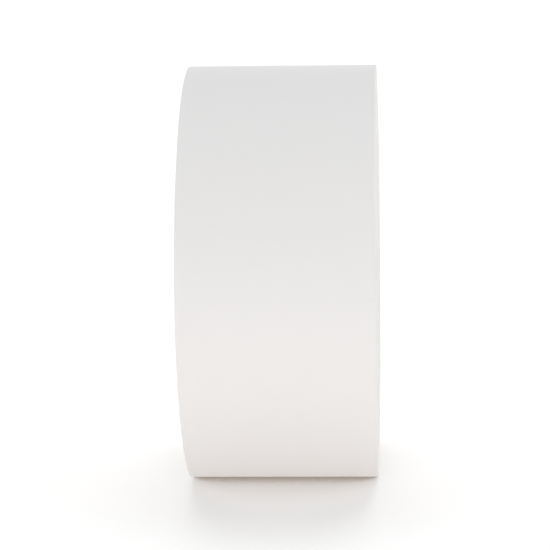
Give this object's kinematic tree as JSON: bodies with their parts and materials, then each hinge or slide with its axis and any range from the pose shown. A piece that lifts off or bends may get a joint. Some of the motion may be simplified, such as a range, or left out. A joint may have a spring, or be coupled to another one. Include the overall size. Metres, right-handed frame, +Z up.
{
  "type": "gummed paper tape roll",
  "caption": "Roll of plain white gummed paper tape on a spiral-wound board core, standing on its edge, with a free end that lifts off the front.",
  "frame": {"origin": "on the ground under the middle of the roll, which stands on its edge", "axes": "+X along the roll's axis to its right-hand end face, +Y to the rear, +Z up"},
  "size_m": [0.0708, 0.1546, 0.1537],
  "materials": {
    "white_paper": "smooth white kraft paper, matt outside, dried gum on the inner face",
    "core_board": "plain brown core board, uncoated"
  },
  "bodies": {
    "roll": {"wound_tape": "white_paper", "last_turn": "white_paper", "core_liner": "core_board", "core_ply_2": "core_board", "core_ply_3": "core_board", "core_ply_4": "core_board", "core_wrap": "core_board"},
    "free_end": {"tape_end": "white_paper"}
  },
  "joints": [
    {"name": "tape_end_lift", "type": "hinge", "parent": "roll", "child": "free_end", "pos_m": [0, -0.06214, 0.03062], "axis": [1, 0, 0], "range_deg": [0, 60], "stiffness_Nm_per_rad": 0.0015, "springref_deg": -14.32}
  ]
}
